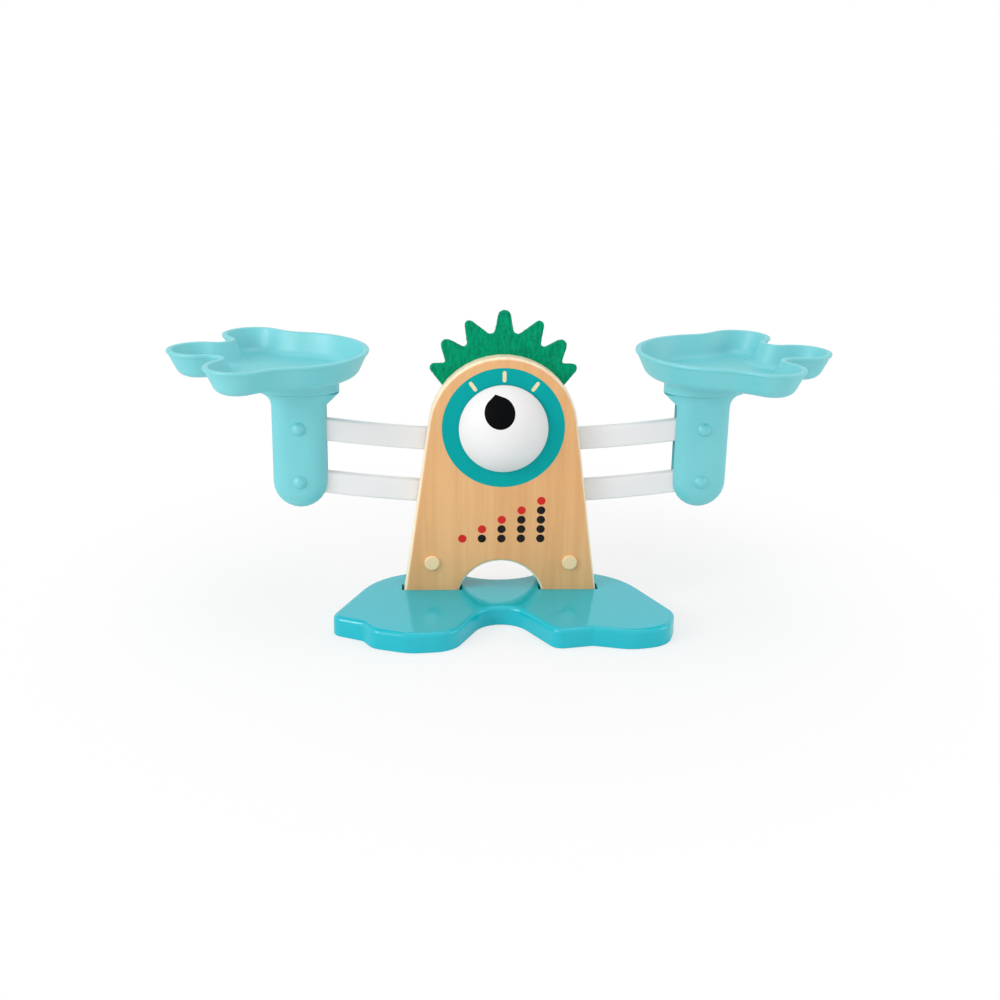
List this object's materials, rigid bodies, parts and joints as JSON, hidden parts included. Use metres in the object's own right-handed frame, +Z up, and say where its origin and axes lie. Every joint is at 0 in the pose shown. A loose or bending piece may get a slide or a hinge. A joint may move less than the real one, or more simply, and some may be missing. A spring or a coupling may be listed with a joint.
{
  "type": "wooden balance scale toy",
  "caption": "Toy balance scale: a wooden stand carries parallel beams, and each pair of beam ends carries a plastic pan that stays level as the beams tilt.",
  "frame": {"origin": "on the underside of the base board, straight below the middle of the beams", "axes": "+X along the beams to the right, +Y from front to back, +Z up"},
  "size_m": [0.4314, 0.1565, 0.2008],
  "materials": {
    "teal_lacquer": "gloss lacquer over a wooden board",
    "beech": "clear satin lacquer, upright grain",
    "pale_wood": "sanded dowel wood, clear lacquer",
    "green_felt": "pressed felt",
    "aqua_plastic": "satin moulded",
    "white_plastic": "smooth moulded",
    "black_plastic": "smooth moulded inlay",
    "steel": "plain zinc plated"
  },
  "bodies": {
    "stand": {"base_board": "teal_lacquer", "base_screws": "steel", "front_panel": "beech", "rear_panel": "beech", "left_leg_spacer": "pale_wood", "right_leg_spacer": "pale_wood", "leg_pegs": "pale_wood", "top_spacer": "pale_wood", "felt_crest": "green_felt", "crest_screws": "steel", "axle_bushes": "white_plastic", "lower_axle": "steel", "lower_washers": "white_plastic"},
    "upper_arm": {"upper_beam": "white_plastic", "eye_axle": "steel", "eye_dome": "white_plastic", "eye_pointer": "black_plastic", "eye_axle_cap": "steel"},
    "lower_arm": {"lower_beam": "white_plastic"},
    "left_carrier": {"left_column_front": "aqua_plastic", "left_column_rear": "aqua_plastic", "left_pins": "aqua_plastic", "left_pan": "aqua_plastic"},
    "right_carrier": {"right_column_front": "aqua_plastic", "right_column_rear": "aqua_plastic", "right_pins": "aqua_plastic", "right_pan": "aqua_plastic"}
  },
  "joints": [
    {"name": "beam_tilt", "type": "hinge", "parent": "stand", "child": "upper_arm", "pos_m": [0, 0, 0.1255], "axis": [0, 1, 0], "range_deg": [-25, 25]},
    {"name": "lower_beam_tilt", "type": "hinge", "parent": "stand", "child": "lower_arm", "pos_m": [0, 0, 0.0895], "axis": [0, 1, 0], "range_deg": [-25, 25]},
    {"name": "left_level", "type": "hinge", "parent": "upper_arm", "child": "left_carrier", "pos_m": [-0.1324, 0, 0.1235], "axis": [0, 1, 0], "range_deg": [-25, 25]},
    {"name": "right_level", "type": "hinge", "parent": "upper_arm", "child": "right_carrier", "pos_m": [0.1324, 0, 0.1235], "axis": [0, 1, 0], "range_deg": [-25, 25]}
  ],
  "couplings": [
    {"joint": "lower_beam_tilt", "follows": "beam_tilt", "ratio": 1},
    {"joint": "left_level", "follows": "beam_tilt", "ratio": -1},
    {"joint": "right_level", "follows": "beam_tilt", "ratio": -1}
  ]
}
